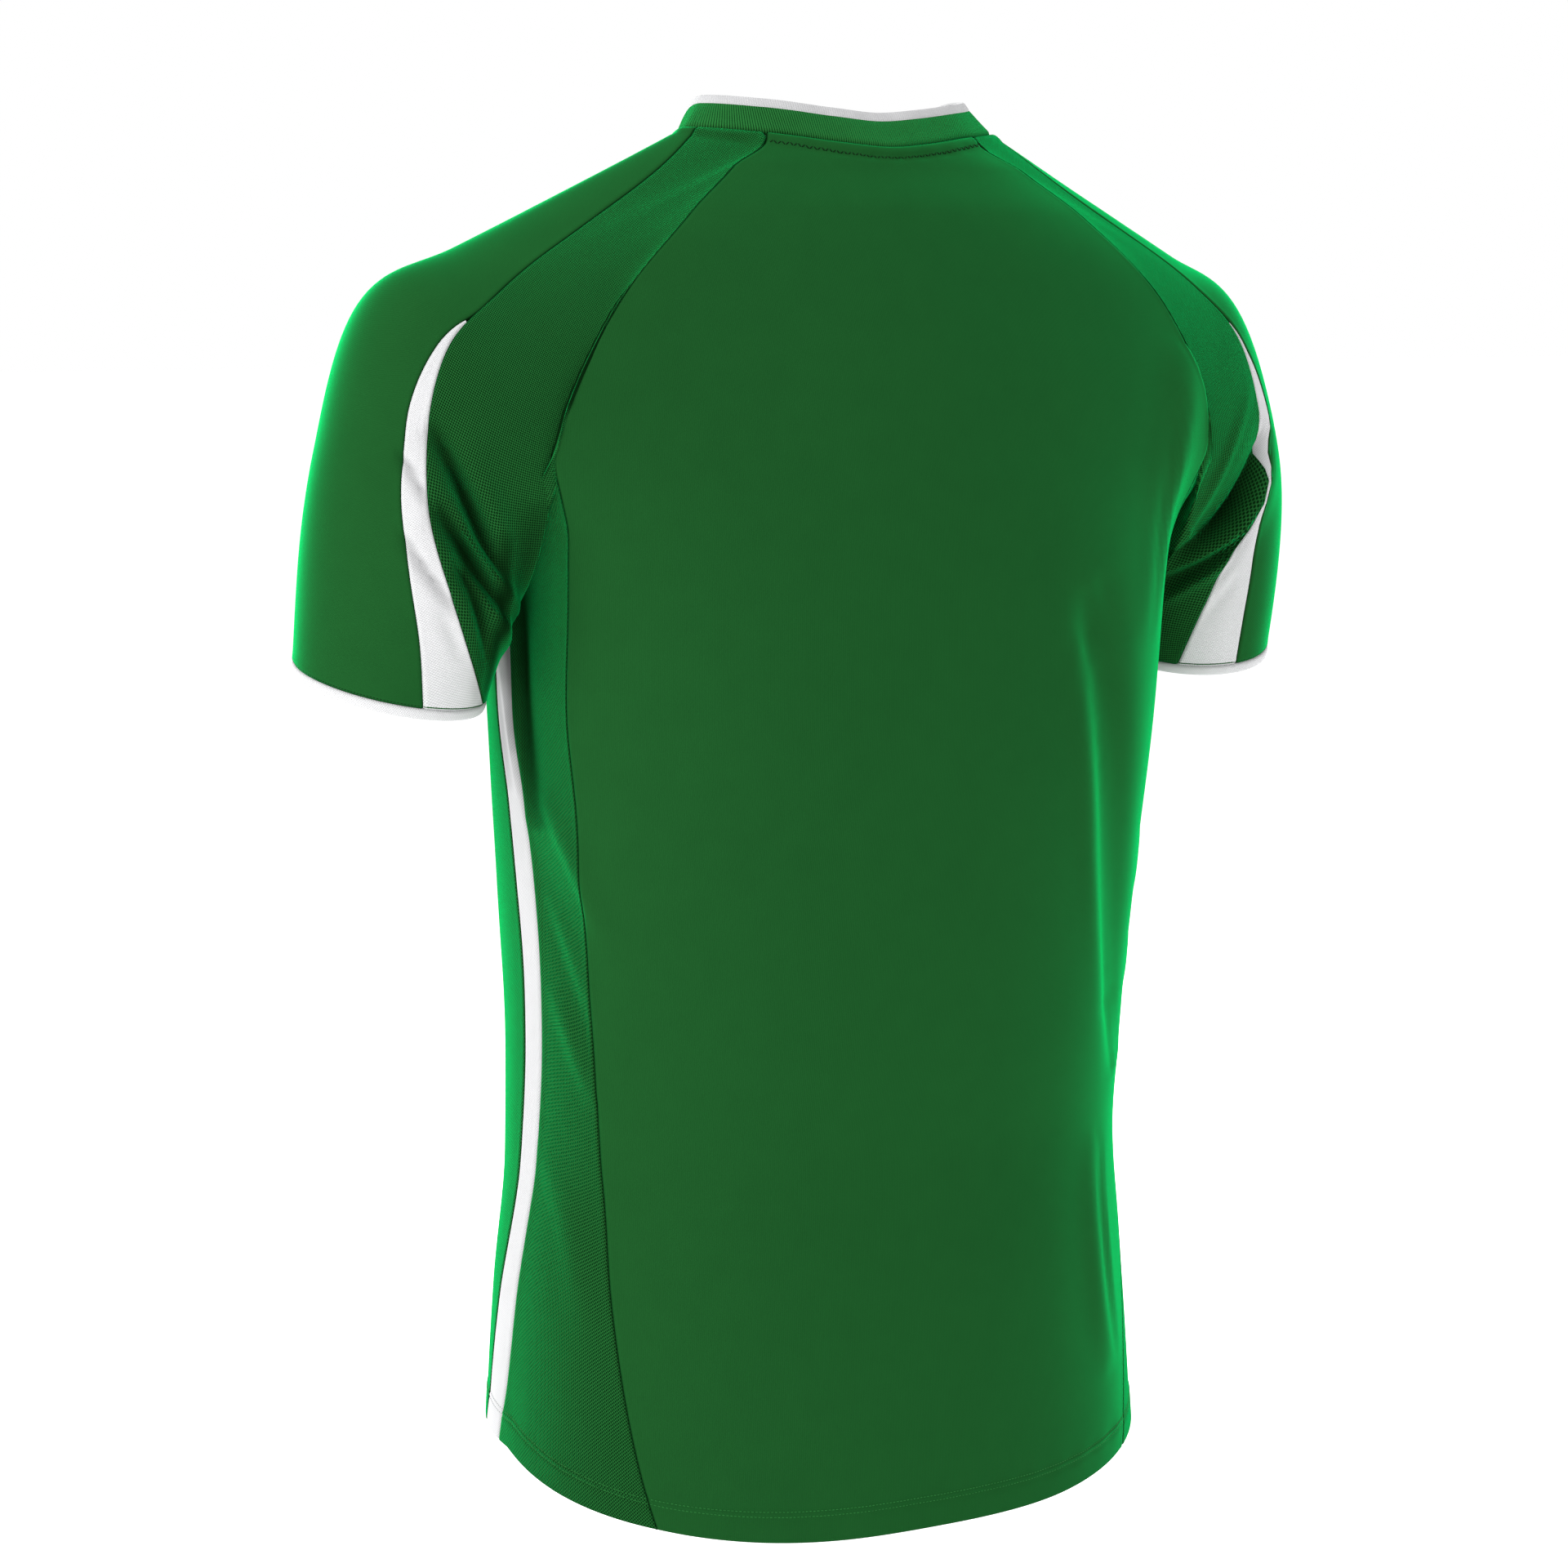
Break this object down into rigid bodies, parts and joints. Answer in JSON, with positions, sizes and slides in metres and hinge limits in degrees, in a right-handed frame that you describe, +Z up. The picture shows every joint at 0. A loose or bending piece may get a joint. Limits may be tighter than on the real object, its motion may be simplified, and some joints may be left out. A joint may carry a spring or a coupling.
{
  "type": "football jersey",
  "caption": "Short-sleeved football jersey with raglan sleeves and ribbed crew collar, filled out as if worn, hollow, with mesh and white insets and a dropped tail.",
  "frame": {"origin": "midway between the two high points of the shoulders, where the collar meets them: the wearer's neck fills this place and holds the jersey up", "axes": "+Z up, the wearer faces -Y, the wearer's left side is +X"},
  "size_m": [0.6599, 0.2745, 0.8137],
  "materials": {
    "green_knit": "smooth fine polyester knit with a slight sheen",
    "green_mesh": "polyester eyelet mesh with small closed dimples",
    "green_rib": "narrow vertical rib knit",
    "white_knit": "white dimpled polyester knit"
  },
  "bodies": {
    "root": {"back_panel": "green_knit", "front_panel": "green_knit", "collar_rib": "green_rib", "collar_edge": "white_knit", "side_mesh_back_left": "green_mesh", "side_mesh_back_right": "green_mesh", "side_stripe_left": "white_knit", "side_stripe_right": "white_knit", "side_mesh_front_left": "green_mesh", "side_mesh_front_right": "green_mesh", "sleeve_mesh_left": "green_mesh", "sleeve_mesh_right": "green_mesh", "sleeve_wedge_left": "white_knit", "sleeve_wedge_right": "white_knit", "sleeve_top_left": "green_knit", "sleeve_top_right": "green_knit", "cuff_band_left": "white_knit", "cuff_band_right": "white_knit"}
  },
  "joints": []
}
